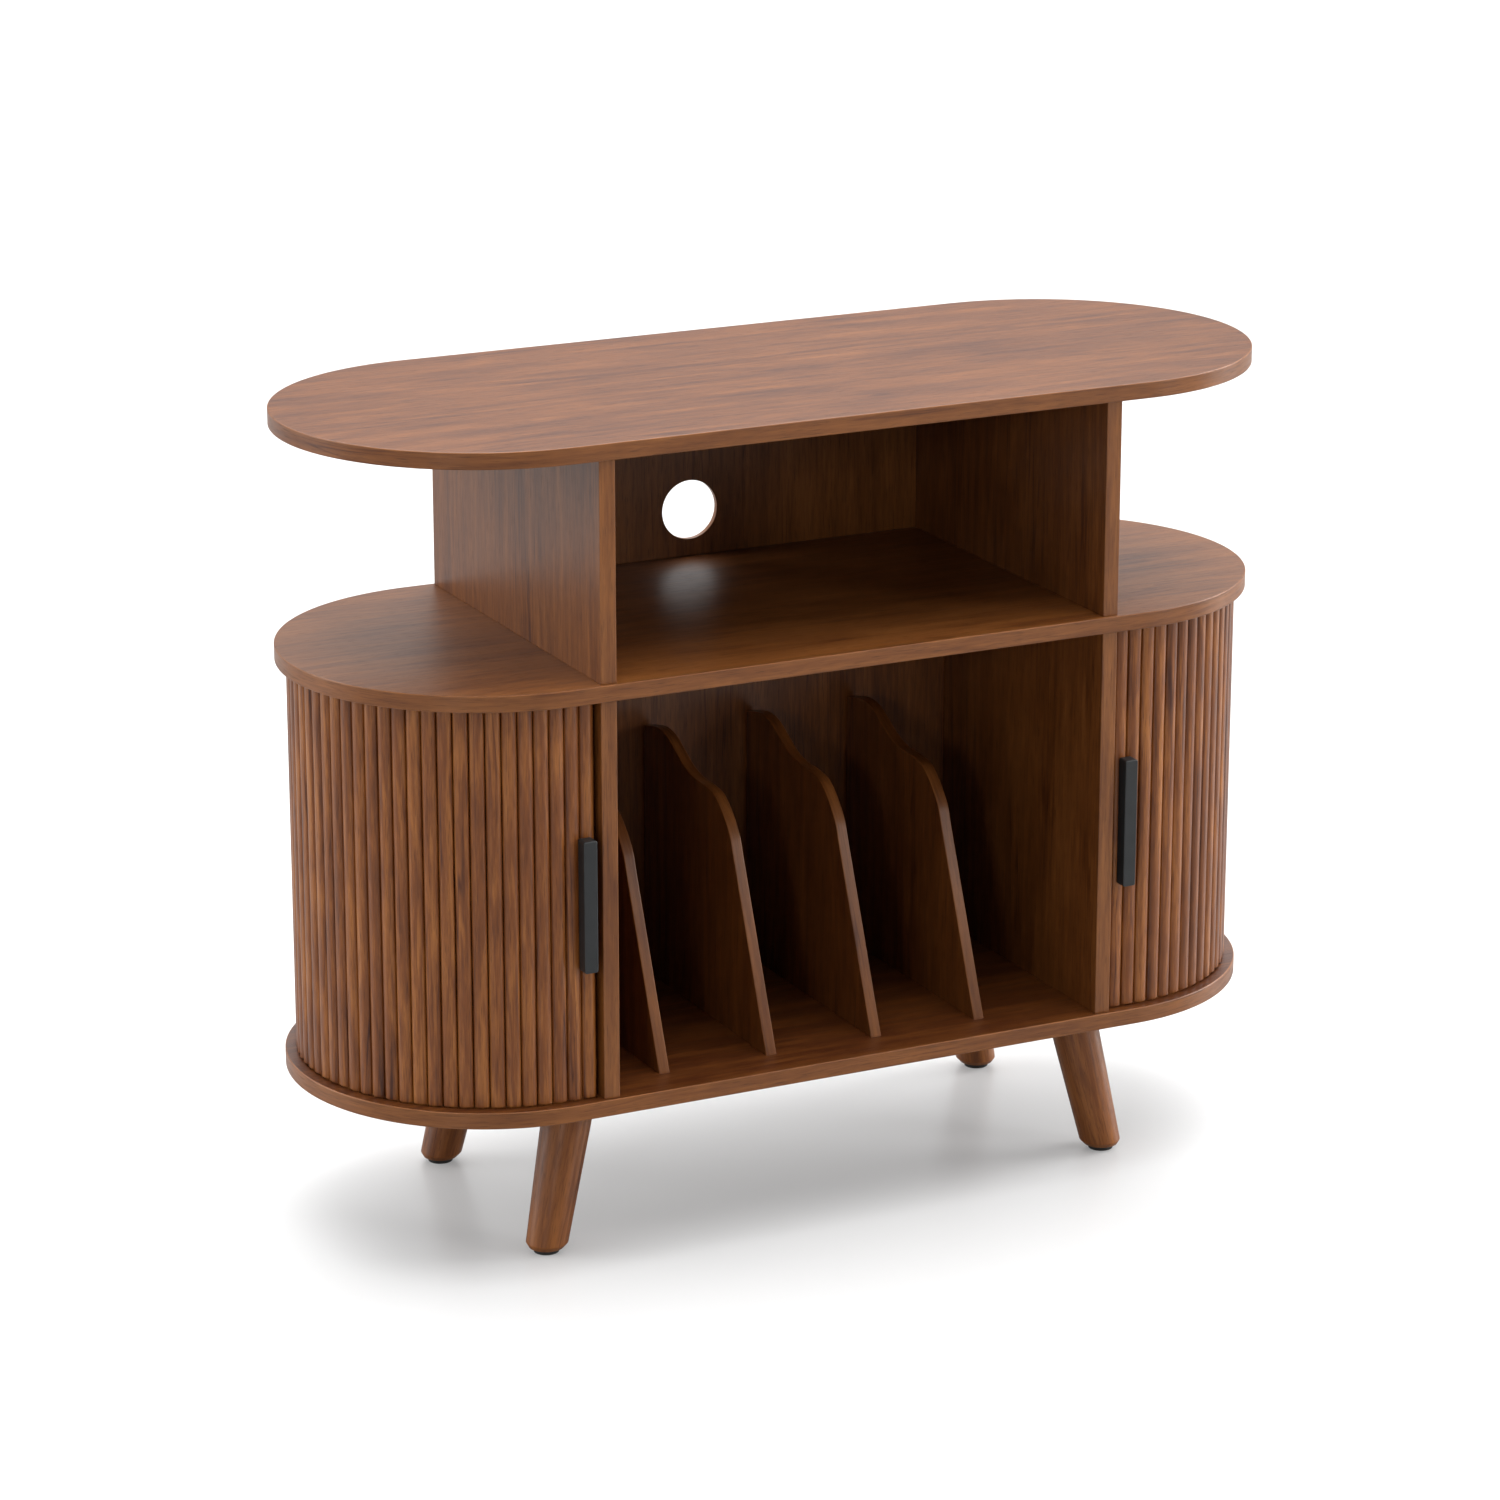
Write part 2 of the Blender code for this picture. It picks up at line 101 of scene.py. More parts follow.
# Record dividers: (y, height over the bay's floor) along the crest, from the front
DIVIDER_SHOULDER = ((-0.086, 0.180), (-0.079, 0.197), (-0.064, 0.215), (-0.046, 0.2285), (-0.025, 0.2325))
DIVIDER_WAVE = ((0.000, 0.2335), (0.022, 0.239), (0.042, 0.249), (0.062, 0.259), (0.085, 0.262))
DIVIDER_REAR_RISE = 0.256
DIVIDER_CURVE_STEPS = 6

# Legs and glides
LEG_SIDES = 72
LEG_TIP_RADIUS = 0.0168
LEG_CHAMFER_RADIUS = 0.0204
LEG_CHAMFER_TOP = 0.0098
LEG_TOP_RADIUS = 0.0252
LEG_SOFTENING = 0.0008
PAD_SOFTENING = 0.0005

# Handles and their screws
HANDLE_CORNER = 0.0020
HANDLE_ROUNDING = 0.0009
SCREW_HEAD = 0.0022
SCREW_SIDES = 32
SCREW_DOME_STEPS = 9
SCREW_HOLE_SIDES = 24
RECESS_LENGTH = 0.0046
RECESS_WIDTH = 0.0010
RECESS_DEPTH = 0.0012
RECESS_SPARE = 0.001
RECESS_ROUNDING = 0.0002

# Camera: its angles are in degrees, and its azimuth turns from the front towards +X
CAMERA_TARGET = Vector((-0.024, 0.0, 0.425))
CAMERA_DISTANCE = 4.854
CAMERA_AZIMUTH = -26.19
CAMERA_ELEVATION = 17.04
CAMERA_LENS = 119.66
CAMERA_REACH = 200.0

# Walnut: darkest, middle and lightest colour
BOARD_COLOURS = ((0.066, 0.0170, 0.0042), (0.145, 0.0460, 0.0100), (0.270, 0.098, 0.0240))
SLAT_COLOURS = ((0.056, 0.0130, 0.0032), (0.184, 0.055, 0.0114), (0.46, 0.175, 0.0400))
LEG_COLOURS = ((0.070, 0.0180, 0.0042), (0.190, 0.058, 0.0120), (0.38, 0.137, 0.0320))
PLY_COLOURS = ((0.070, 0.022, 0.0060), (0.135, 0.045, 0.0120), (0.235, 0.083, 0.0220))

# Tone of each piece of wood: 0.5 is its look's usual one, and more is lighter
TOP_TONE = 0.05
MIDDLE_TONE = 0.70
BOTTOM_TONE = -0.35
BAND_TONE = 0.84
UPPER_PARTITION_TONE = 0.45
LOWER_PARTITION_TONE = 0.48
UPPER_BACK_TONE = 1.2
LOWER_BACK_TONE = 0.45
REAR_TONE = 0.5
DIVIDER_TONES = (0.05, 0.25)
LEG_TONES = (0.40, 0.56)
SLAT_TONES = (0.38, 0.62)

# Studio. Directions are (azimuth from the front towards +X, elevation) in degrees. A patch of the
# surroundings has a direction, the cosines where it starts and where it is full, and its rise. A light
# has its azimuth, elevation, strength and spread.
SURROUND_LEVEL = 1.0
PATCHES = [
    ((3, 80), 0.86, 0.96, 3.9),
    ((0, 10), 0.05, 0.80, -0.75),
    ((150, 55), 0.73, 0.96, 3.0),
    ((156, 10), 0.82, 0.97, -0.90),
]
LIGHTS = {
    "left": (-118, 20, 1.25, 35),
    "right": (84, 22, 2.6, 35),
    "fill": (42, 16, 0.8, 20),
    "key": (-42, 14, 0.24, 6),
}
FLOOR_COLOUR = (0.50, 0.50, 0.50, 1.0)
FLOOR_BOUNCE = (0.32, 0.32, 0.32, 1.0)
FLOOR_GLOW = 0.21
FLOOR_ROUGHNESS = 0.28
FLOOR_IOR = 1.3
FLOOR_REACH = 60.0

rng = random.Random(7)


# ---------------------------------------------------------------- shader graphs


class Graph:
    """Adds nodes to a material's or a world's tree and joins them."""

    def __init__(self, tree):
        self.tree = tree
        tree.nodes.clear()

    def add(self, kind, settings=None, inputs=None, output=0):
        made = self.tree.nodes.new("ShaderNode" + kind)
        for name, value in (settings or {}).items():
            setattr(made, name, value)
        for name, value in (inputs or {}).items():
            if isinstance(value, bpy.types.NodeSocket):
                self.tree.links.new(value, made.inputs[name])
            else:
                made.inputs[name].default_value = value
        return made.outputs[output] if made.outputs else made

    def math(self, operation, a, b=0.0):
        return self.add("Math", {"operation": operation}, {0: a, 1: b})

    def scaled(self, vector, factors):
        return self.add("VectorMath", {"operation": "MULTIPLY"}, {0: vector, 1: factors})

    def noise(self, vector, factors, detail=2.0, roughness=0.5, distortion=0.0):
        inputs = {
            "Vector": self.scaled(vector, factors),
            "Scale": 1.0,
            "Detail": detail,
            "Roughness": roughness,
            "Distortion": distortion,
        }
        return self.add("TexNoise", {}, inputs)

    def spread(self, value, low, high, to_low=0.0, to_high=1.0, smooth=False):
        """Maps low..high to to_low..to_high, clamped."""
        kind = "SMOOTHSTEP" if smooth else "LINEAR"
        inputs = {0: value, 1: low, 2: high, 3: to_low, 4: to_high}
        return self.add("MapRange", {"interpolation_type": kind, "clamp": True}, inputs)

    def mix(self, share, a, b):
        return self.add("Mix", {"data_type": "RGBA"}, {0: share, 6: a, 7: b}, 2)

    def ramp(self, value, stops):
        """A colour ramp: stops lists (position, colour)."""
        out = self.add("ValToRGB", {}, {0: value})
        elements = out.node.color_ramp.elements
        while len(elements) < len(stops):
            elements.new(0.5)
        for element, (position, colour) in zip(elements, stops):
            element.position = position
            element.color = (*colour, 1.0)
        return out

    def attribute(self, name, output=2):
        """A corner attribute of the piece: output 1 is its vector, and 2 its number."""
        return self.add("Attribute", {"attribute_type": "GEOMETRY", "attribute_name": name}, {}, output)

    def bump(self, height, strength, distance):
        return self.add("Bump", {}, {"Height": height, "Strength": strength, "Distance": distance})

    def surface(self, inputs):
        """Ends a material's graph in one Principled shader."""
        shader = self.add("BsdfPrincipled", {}, inputs)
        self.add("OutputMaterial", {}, {"Surface": shader})


def new_material(name):
    made = bpy.data.materials.new(name)
    made.use_nodes = True
    return made, Graph(made.node_tree)


def walnut(name, colours, figure, roughness):
    """Oiled walnut. colours run from darkest to lightest. figure is how strongly the growth rings show,
    from 0 to 1."""
    darkest, middle, lightest = colours
    made, g = new_material(name)
    grain = g.attribute("grain", 1)
    tone = g.attribute("tone")
    worn_and_highlit = g.attribute("edge")
    split = g.add("SeparateXYZ", {}, {0: grain}).node

    # Growth rings: contour lines of a slowly wandering surface, which close into flames and ovals
    wander = g.noise(grain, (1.7, 8.0, 8.0), detail=1.5, roughness=0.4)
    wander = g.math("MULTIPLY", g.math("SUBTRACT", wander, 0.5), 0.15)
    ring_place = g.math("ADD", g.math("ADD", split.outputs[1], split.outputs[2]), wander)
    rings = g.add(
        "TexNoise",
        {"noise_dimensions": "1D"},
        {"W": g.math("MULTIPLY", ring_place, 80.0), "Scale": 1.0, "Detail": 3.0, "Roughness": 0.6},
    )
    rings = g.spread(rings, 0.25, 0.75)

    streaks = g.spread(g.noise(grain, (2.6, 95.0, 95.0), detail=3.0, roughness=0.62), 0.28, 0.72)
    fibres = g.noise(grain, (16.0, 820.0, 820.0), detail=2.0, roughness=0.6)
    dashes = g.noise(grain, (24.0, 270.0, 270.0), detail=3.0, roughness=0.62, distortion=0.2)
    dashes = g.spread(dashes, 0.3, 0.7)
    mottle = g.noise(grain, (7.0, 42.0, 42.0), detail=2.5, roughness=0.55, distortion=0.4)
    mottle = g.spread(mottle, 0.3, 0.7)

    # Dark veins: thin lines that follow the grain and fade in and out
    vein = g.noise(grain, (3.2, 75.0, 75.0), detail=2.0, roughness=0.5, distortion=0.3)
    vein = g.math("ABSOLUTE", g.math("SUBTRACT", vein, 0.5))
    vein = g.spread(vein, 0.0, 0.035, 1.0, 0.0, smooth=True)
    vein = g.math("MULTIPLY", vein, g.spread(g.noise(grain, (5.0, 20.0, 20.0)), 0.42, 0.62))
    pores = g.spread(g.noise(grain, (55.0, 1500.0, 1500.0), detail=1.0), 0.60, 0.70)

    shade = g.math("MULTIPLY", rings, 0.34 * figure)
    shade = g.math("ADD", shade, g.math("MULTIPLY", streaks, 0.20))
    shade = g.math("ADD", shade, g.math("MULTIPLY", dashes, 0.26))
    shade = g.math("ADD", shade, g.math("MULTIPLY", mottle, 0.27))
    shade = g.math("ADD", shade, g.math("MULTIPLY", fibres, 0.14))
    shade = g.math("SUBTRACT", shade, g.math("MULTIPLY", vein, 0.32))
    shade = g.math("ADD", shade, g.math("MULTIPLY", g.math("SUBTRACT", tone, 0.5), 0.34))
    shade = g.math("ADD", shade, (1.0 - figure) * 0.17 - 0.06)
    colour = g.ramp(shade, [(0.12, darkest), (0.50, middle), (1.00, lightest)])
    colour = g.mix(g.math("MULTIPLY", pores, 0.45), colour, (*(0.35 * c for c in darkest), 1.0))
    # Painted highlight with a little wear: the rounded edges are mixed towards the lightest colour, as
    # where they catch the light
    colour = g.mix(g.math("MULTIPLY", worn_and_highlit, 0.22), colour, (*lightest, 1.0))

    gloss = g.math("ADD", g.math("MULTIPLY", fibres, 0.16), roughness - 0.08)
    gloss = g.math("ADD", gloss, g.math("MULTIPLY", pores, 0.15))
    height = g.math("SUBTRACT", g.math("MULTIPLY", fibres, 0.5), pores)
    normal = g.bump(height, 0.22, 0.00010)
    g.surface({"Base Color": colour, "Roughness": gloss, "Normal": normal, "IOR": 1.42})
    return made


def coated_metal(name):
    """Matte black powder coat with a fine orange peel, and its rounded edges painted lighter: a painted
    highlight with a little rubbing.
    """
    made, g = new_material(name)
    place = g.attribute("grain", 1)
    peel = g.noise(place, (2600.0, 2600.0, 2600.0), detail=2.0)
    cloud = g.noise(place, (60.0, 60.0, 60.0), detail=3.0)
    colour = g.mix(g.spread(cloud, 0.3, 0.7), (0.0065, 0.0080, 0.0090, 1.0), (0.0105, 0.0122, 0.0135, 1.0))
    # Painted highlight with a little rubbing: the rounded edges are mixed towards a lighter grey
    colour = g.mix(g.math("MULTIPLY", g.attribute("edge"), 0.35), colour, (0.040, 0.042, 0.044, 1.0))
    gloss = g.spread(peel, 0.3, 0.7, 0.42, 0.54)
    normal = g.bump(peel, 0.25, 0.00006)
    g.surface({"Base Color": colour, "Roughness": gloss, "Normal": normal, "IOR": 1.5})
    return made


def woven_canvas(name):
    """Dark brown cotton duck: warp and weft threads 0.7 mm apart. Its darkness is partly the cloth's own
    colour and partly painted shade for the gaps between the slats.
    """
    made, g = new_material(name)
    place = g.attribute("grain", 1)
    split = g.add("SeparateXYZ", {}, {0: place}).node
    turns_per_metre = 2 * math.pi / 0.0014
    warp = g.math("SINE", g.math("MULTIPLY", split.outputs[0], turns_per_metre))
    weft = g.math("SINE", g.math("MULTIPLY", split.outputs[1], turns_per_metre))
    weave = g.spread(g.math("MULTIPLY", warp, weft), -1.0, 1.0)
    slub = g.noise(place, (90.0, 900.0, 1.0), detail=3.0)
    shade = g.math("MULTIPLY", weave, g.spread(slub, 0.2, 0.8, 0.6, 1.0))
    # Partly painted shade: the cloth is kept dark so that the gaps between the slats show dark
    colour = g.mix(shade, (0.020, 0.013, 0.009, 1.0), (0.052, 0.036, 0.026, 1.0))
    normal = g.bump(shade, 0.6, 0.0003)
    g.surface({"Base Color": colour, "Roughness": 0.9, "Normal": normal, "Sheen Weight": 0.2})
    return made


def rubber(name):
    made, g = new_material(name)
    place = g.add("TexCoord", {}, {}, 3)
    grit = g.noise(place, (1900.0, 1900.0, 1900.0), detail=3.0)
    scuff = g.noise(place, (110.0, 110.0, 110.0), detail=4.0)
    colour = g.mix(g.spread(scuff, 0.35, 0.75), (0.012, 0.011, 0.010, 1.0), (0.034, 0.031, 0.028, 1.0))
    normal = g.bump(grit, 0.4, 0.0001)
    g.surface({"Base Color": colour, "Roughness": g.spread(grit, 0.3, 0.7, 0.6, 0.8), "Normal": normal})
    return made


def plated_metal(name, dark, light, roughness):
    """Zinc or brass hardware, with cloudy plating and fine turning lines round its axis."""
    made, g = new_material(name)
    place = g.add("TexCoord", {}, {}, 3)
    cloud = g.noise(place, (240.0, 240.0, 240.0), detail=4.0, roughness=0.6)
    lines = g.noise(place, (500.0, 500.0, 5200.0), detail=1.0)
    colour = g.mix(g.spread(cloud, 0.3, 0.7), (*dark, 1.0), (*light, 1.0))
    gloss = g.math("ADD", g.math("MULTIPLY", cloud, 0.18), roughness - 0.09)
    normal = g.bump(lines, 0.15, 0.00005)
    g.surface({"Base Color": colour, "Metallic": 1.0, "Roughness": gloss, "Normal": normal})
    return made


def turned_beech(name):
    """Pale beech with the short dark flecks of its rays, along Z."""
    made, g = new_material(name)
    place = g.add("TexCoord", {}, {}, 3)
    fibres = g.noise(place, (900.0, 900.0, 30.0), detail=3.0)
    flecks = g.spread(g.noise(place, (1500.0, 1500.0, 260.0), detail=1.0), 0.60, 0.68)
    colour = g.mix(g.spread(fibres, 0.3, 0.7), (0.44, 0.27, 0.15, 1.0), (0.66, 0.46, 0.29, 1.0))
    colour = g.mix(g.math("MULTIPLY", flecks, 0.6), colour, (0.26, 0.13, 0.06, 1.0))
    g.surface({"Base Color": colour, "Roughness": 0.6, "Normal": g.bump(fibres, 0.3, 0.0002)})
    return made


# ---------------------------------------------------------------- mesh building


class Solid:
    """A closed mesh under construction. Its corners carry grain (the wood's along, across and depth
    coordinates), tone (how light the piece of wood is) and edge (how strongly the rounded edges get
    the painted highlight, with a little wear)."""

    def __init__(self, tone=0.5, band_tone=None):
        self.mesh = bmesh.new()
        self.grain = self.mesh.loops.layers.float_vector.new("grain")
        self.tone_layer = self.mesh.loops.layers.float.new("tone")
        self.edge = self.mesh.loops.layers.float.new("edge")
        self.tone = tone
        self.band_tone = tone if band_tone is None else band_tone

    def vert(self, place):
        return self.mesh.verts.new(place)

    def face(self, verts, grains, wear_and_highlight=None, smooth=True, tone=None):
        made = self.mesh.faces.new(verts)
        made.smooth = smooth
        for i, loop in enumerate(made.loops):
            loop[self.grain] = grains[i]
            loop[self.tone_layer] = self.tone if tone is None else tone
            # The edge layer holds the painted highlight, with a little wear, of the rounded edges
            loop[self.edge] = wear_and_highlight[i] if wear_and_highlight else 0.0
        return made

    def finish(self, name, look):
        bmesh.ops.recalc_face_normals(self.mesh, faces=self.mesh.faces)
        made = bpy.data.meshes.new(name)
        self.mesh.to_mesh(made)
        self.mesh.free()
        made.materials.append(look)
        obj = bpy.data.objects.new(name, made)
        bpy.context.scene.collection.objects.link(obj)
        return obj


def along_z(u, v, w):
    return (u, v, w)


def along_x(u, v, w):
    return (w, u, v)


def along_y(u, v, w):
    return (u, w, v)


def offset_outline(outline, distance):
    """The closed outline moved inwards by distance, mitred at its corners. It runs anticlockwise."""
    moved = []
    for i, here in enumerate(outline):
        before = outline[i - 1]
        after = outline[(i + 1) % len(outline)]
        first = Vector((here[0] - before[0], here[1] - before[1])).normalized()
        second = Vector((after[0] - here[0], after[1] - here[1])).normalized()
        inward = Vector((-first.y - second.y, first.x + second.x))
        inward.normalize()
        reach = distance / max(0.3, inward.dot(Vector((-first.y, first.x))))
        moved.append((here[0] + inward.x * reach, here[1] + inward.y * reach))
    return moved


def rim_profile(low, high, rounding):
    """(inset, height, wear_and_highlight) of each ring of a prism's wall, from its lower cap to its upper
    one.
    The third is the painted edge highlight, with a little wear.
    """
    if not rounding:
        return [(0.0, low, 0.0), (0.0, high, 0.0)]
    turns = [math.pi / 2 * i / ROUND_STEPS for i in range(ROUND_STEPS + 1)]
    # Painted highlight with a little wear: strongest halfway round the rounding, where the edge catches the
    # light
    lower = [(rounding * (1 - math.sin(t)), rounding * (1 - math.cos(t)), math.sin(2 * t)) for t in turns]
    rings = [(rounding + SUPPORT, 0.0, 0.0), *lower, (0.0, rounding + SUPPORT, 0.0)]
    bottom = [(inset, low + height, wear_and_highlight) for inset, height, wear_and_highlight in rings]
    top = [(inset, high - height, wear_and_highlight) for inset, height, wear_and_highlight in reversed(rings)]
    return bottom + top


def add_wall(solid, outline, low, high, place, side_grain, cap_grain, rounding, inward):
    """Adds the wall over one closed outline, and returns its lowest and highest rings with their points."""
    profile = rim_profile(low, high, rounding)
    lengths = [0.0]
    for i, here in enumerate(outline):
        after = outline[(i + 1) % len(outline)]
        lengths.append(lengths[-1] + math.dist(here, after))
    rings = []
    for inset, height, wear_and_highlight in profile:
        points = offset_outline(outline, inset * inward) if inset else outline
        rings.append((points, height, wear_and_highlight, [solid.vert(place(u, v, height)) for u, v in points]))
    count = len(outline)
    for lower, upper in zip(rings, rings[1:]):
        flat = abs(lower[1] - upper[1]) < 1e-9
        for i in range(count):
            j = (i + 1) % count
            corners = ((lower, i, i), (lower, j, i + 1), (upper, j, i + 1), (upper, i, i))
            verts = [ring[3][k] for ring, k, _ in corners]
            wear_and_highlight = [ring[2] for ring, _, _ in corners]
            if flat:
                grains = [cap_grain(*ring[0][k], ring[1]) for ring, k, _ in corners]
            else:
                grains = [side_grain(lengths[m], ring[1], ring[0][k]) for ring, k, m in corners]
            solid.face(verts, grains, wear_and_highlight, tone=solid.tone if flat else solid.band_tone)
    return rings[0], rings[-1]


def add_prism(solid, outline, low, high, place, side_grain, cap_grain, rounding=0.0, holes=()):
    """Adds a prism over an anticlockwise outline, with its rims rounded, and through holes."""
    ends = [add_wall(solid, outline, low, high, place, side_grain, cap_grain, rounding, 1)]
    ends += [add_wall(solid, hole, low, high, place, side_grain, cap_grain, rounding, -1) for hole in holes]
    for k in (0, 1):
        loops = [end[k] for end in ends]
        verts = [vert for loop in loops for vert in loop[3]]
        points = [point for loop in loops for point in loop[0]]
        height = loops[0][1]
        if holes:
            shapes = tessellate_polygon([[Vector((*point, 0.0)) for point in loop[0]] for loop in loops])
        else:
            shapes = [range(len(verts))]
        for shape in shapes:
            grains = [cap_grain(*points[i], height) for i in shape]
            solid.face([verts[i] for i in shape], grains, smooth=False)


def circle(centre, radius, sides):
    turns = [2 * math.pi * i / sides for i in range(sides)]
    return [(centre[0] + radius * math.cos(t), centre[1] + radius * math.sin(t)) for t in turns]


def rounded_rectangle(low, high, rounding):
    """Anticlockwise outline with round corners, and a point close to each arc that keeps the sides flat."""
    points = []
    corners = (
        (high[0] - rounding, high[1] - rounding, 0),
        (low[0] + rounding, high[1] - rounding, 1),
        (low[0] + rounding, low[1] + rounding, 2),
        (high[0] - rounding, low[1] + rounding, 3),
    )
    for x, y, quarter in corners:
        start = quarter * math.pi / 2
        before = (math.sin(start), -math.cos(start))
        after = (-math.cos(start), -math.sin(start))
        first = (x + rounding * math.cos(start), y + rounding * math.sin(start))
        points.append((first[0] + before[0] * SUPPORT, first[1] + before[1] * SUPPORT))
        for i in range(ROUND_STEPS + 1):
            turn = start + math.pi / 2 * i / ROUND_STEPS
            points.append((x + rounding * math.cos(turn), y + rounding * math.sin(turn)))
        last = points[-1]
        points.append((last[0] + after[0] * SUPPORT, last[1] + after[1] * SUPPORT))
    return points


def stadium():
    """The boards' outline, anticlockwise from the middle of the rear edge."""
    steps = round(math.pi / ARC_STEP)
    points = [(0.0, END_RADIUS)]
    for side in (-1, 1):
        for i in range(steps + 1):
            turn = side * (math.pi * i / steps - math.pi / 2)
            points.append((side * (AXIS_X + END_RADIUS * math.cos(turn)), END_RADIUS * math.sin(turn)))
    return points


def arc_band(side, inner, outer, start, end, flat=0.0):
    """Outline of a band round an end's axis, from angle start to end measured from the front."""
    steps = math.ceil((end - start) / ARC_STEP)
    turns = [start + (end - start) * i / steps for i in range(steps + 1)]
    near = [(side * outer * math.sin(t), -outer * math.cos(t)) for t in turns]
    far = [(side * inner * math.sin(t), -inner * math.cos(t)) for t in turns]
    if flat:
        near.insert(0, (-side * flat, -outer))
        far.insert(0, (-side * flat, -inner))
    outline = [(x + side * AXIS_X, y) for x, y in near + far[::-1]]
    return outline if side > 0 else outline[::-1]


def carve(obj, cutter):
    """Cuts the cutter, a Solid, out of obj for good."""
    tool = cutter.finish(obj.name + "_cutter", obj.data.materials[0])
    boolean = obj.modifiers.new("carve", "BOOLEAN")
    boolean.operation = "DIFFERENCE"
    boolean.object = tool
    bpy.context.view_layer.update()
    shaped = bpy.data.meshes.new_from_object(obj.evaluated_get(bpy.context.evaluated_depsgraph_get()))
    shaped.name = obj.name
    obj.modifiers.clear()
    obj.data = shaped
    bpy.data.objects.remove(tool)


def stand_for(obj, nodes, body):
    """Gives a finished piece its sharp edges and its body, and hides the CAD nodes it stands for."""
    obj.data.set_sharp_from_angle(angle=SHARP_ANGLE)
    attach(obj, body)
    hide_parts(*nodes)
    return obj


def shift():
    """A random offset of the wood's coordinates, so that no two pieces share a figure."""
    return Vector((rng.uniform(-4, 4), rng.uniform(-4, 4), rng.uniform(-4, 4)))


def plain_grain(point_grain):
    """Both grain functions of a cutter or of a small part: the same solid coordinates everywhere."""
    return (lambda s, w, point: point_grain(*point, w)), point_grain


def add_bore(cutter, node):
    """Adds an upright hole that fits the round CAD node, a little longer than it."""
    low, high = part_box(node)
    middle = (low + high) / 2
    spare = HOLE_CLEARANCE
    outline = circle((middle.x, middle.y), (high.x - low.x) / 2 + spare, BORE_SIDES)
    side_grain, cap_grain = plain_grain(lambda u, v, w: Vector((w, u, v)))
    add_prism(cutter, outline, low.z - spare, high.z + spare, along_z, side_grain, cap_grain)


# ---------------------------------------------------------------- cabinet


def make_board(node, tone):
    """A stadium board with its grain along X and an edge band that runs round it."""
    low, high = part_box(node)
    face_shift, band_shift = shift(), shift()
    board = Solid(tone, BAND_TONE)
    add_prism(
        board,
        stadium(),
        low.z,
        high.z,
        along_z,
        lambda s, w, point: Vector((s, w, 0.0)) + band_shift,
        lambda u, v, w: Vector((u, v, w)) + face_shift,
        BOARD_ROUNDING,
    )
    return board.finish(node + "_detail", LOOKS["walnut_board"])


def add_tracks(cutter, low, high):
    for side in SIDES.values():
        outline = arc_band(side, TRACK_INNER, TRACK_OUTER, 0.0, TRACK_END, FLAT_RUN + TRACK_SPARE)
        side_grain, cap_grain = plain_grain(lambda u, v, w: Vector((u, v, w)))
        add_prism(cutter, outline, low, high, along_z, side_grain, cap_grain)


def make_boards():
    dowels = [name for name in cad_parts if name.startswith("dowel_")]
    top = make_board("top_panel", TOP_TONE)
    cutter = Solid()
    for name in dowels:
        if "_upper_" in name and "_head_" in name:
            add_bore(cutter, name)
    carve(top, cutter)

    middle = make_board("mid_panel", MIDDLE_TONE)
    cutter = Solid()
    add_tracks(cutter, RECORD_CEILING - TRACK_DEPTH, RECORD_CEILING + TRACK_DEPTH)
    for name in dowels:
        if ("_upper_" in name) == ("_base_" in name):
            add_bore(cutter, name)
    carve(middle, cutter)

    bottom = make_board("bottom_panel", BOTTOM_TONE)
    cutter = Solid()
    add_tracks(cutter, RECORD_FLOOR - TRACK_DEPTH, RECORD_FLOOR + TRACK_DEPTH)
    for name in dowels:
        if "_lower_" in name and "_base_" in name:
            add_bore(cutter, name)
    for corner in CORNERS:
        add_bore(cutter, "threaded_insert_" + corner)
    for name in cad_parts:
        if name.startswith("record_divider_"):
            add_housing(cutter, name)
    carve(bottom, cutter)

    for board, node in ((top, "top_panel"), (middle, "mid_panel"), (bottom, "bottom_panel")):
        stand_for(board, [node], "cabinet")


def add_housing(cutter, divider):
    """Adds the groove that a divider's foot stands in."""
    low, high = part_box(divider)
    spare = HOLE_CLEARANCE
    outline = [
        (low.x - spare, low.y - spare),
        (high.x + spare, low.y - spare),
        (high.x + spare, high.y + spare),
        (low.x - spare, high.y + spare),
    ]
    side_grain, cap_grain = plain_grain(lambda u, v, w: Vector((u, v, w)))
    add_prism(cutter, outline, low.z - spare, RECORD_FLOOR + spare * 4, along_z, side_grain, cap_grain)


def make_upright(node, slot_name, tone):
    """A flat panel that stands up, with its grain along Z and its upright edges rounded."""
    low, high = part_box(node)
    own_shift = shift()
    panel = Solid(tone)
    add_prism(
        panel,
        rounded_rectangle((low.x, low.y), (high.x, high.y), PANEL_ROUNDING),
        low.z,
        high.z,
        along_z,
        lambda s, w, point: Vector((w, s, 0.0)) + own_shift,
        lambda u, v, w: Vector((w, u, v)) + own_shift,
    )
    if "_partition_" in node:
        panel.mesh.normal_update()
        for edge_face in panel.mesh.faces:
            if abs(edge_face.normal.y) > 0.5:
                for loop in edge_face.loops:
                    loop[panel.tone_layer] = BAND_TONE
    made = panel.finish(node + "_detail", LOOKS[slot_name])
    if "_partition_" in node:
        cutter = Solid()
        level, _, side = node.partition("_partition_")
        for place in ("base", "head"):
            for end in ("front", "rear"):
                add_bore(cutter, f"dowel_{level}_{side}_{place}_{end}")
        carve(made, cutter)
    return stand_for(made, [node], "cabinet")


